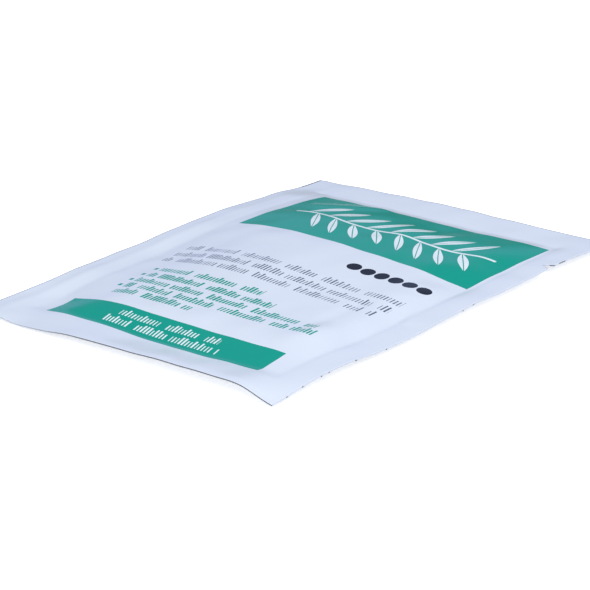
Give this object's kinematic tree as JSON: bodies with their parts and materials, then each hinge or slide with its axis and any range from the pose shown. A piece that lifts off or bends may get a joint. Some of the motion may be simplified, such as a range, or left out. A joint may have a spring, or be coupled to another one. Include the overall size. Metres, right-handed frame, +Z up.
{
  "type": "wet wipe sachet",
  "caption": "Flat sachet with one wet wipe, heat-sealed on all four sides, with plain green printed bands and a tear notch.",
  "frame": {"origin": "centre of the footprint, on the table that the sachet lies on", "axes": "+X across the print, +Y from the foot of the print to its head, +Z up out of the printed face"},
  "size_m": [0.08, 0.105, 0.005],
  "materials": {
    "film": "soft gloss, printed with green bands"
  },
  "bodies": {
    "root": {"sachet": "film"}
  },
  "joints": []
}
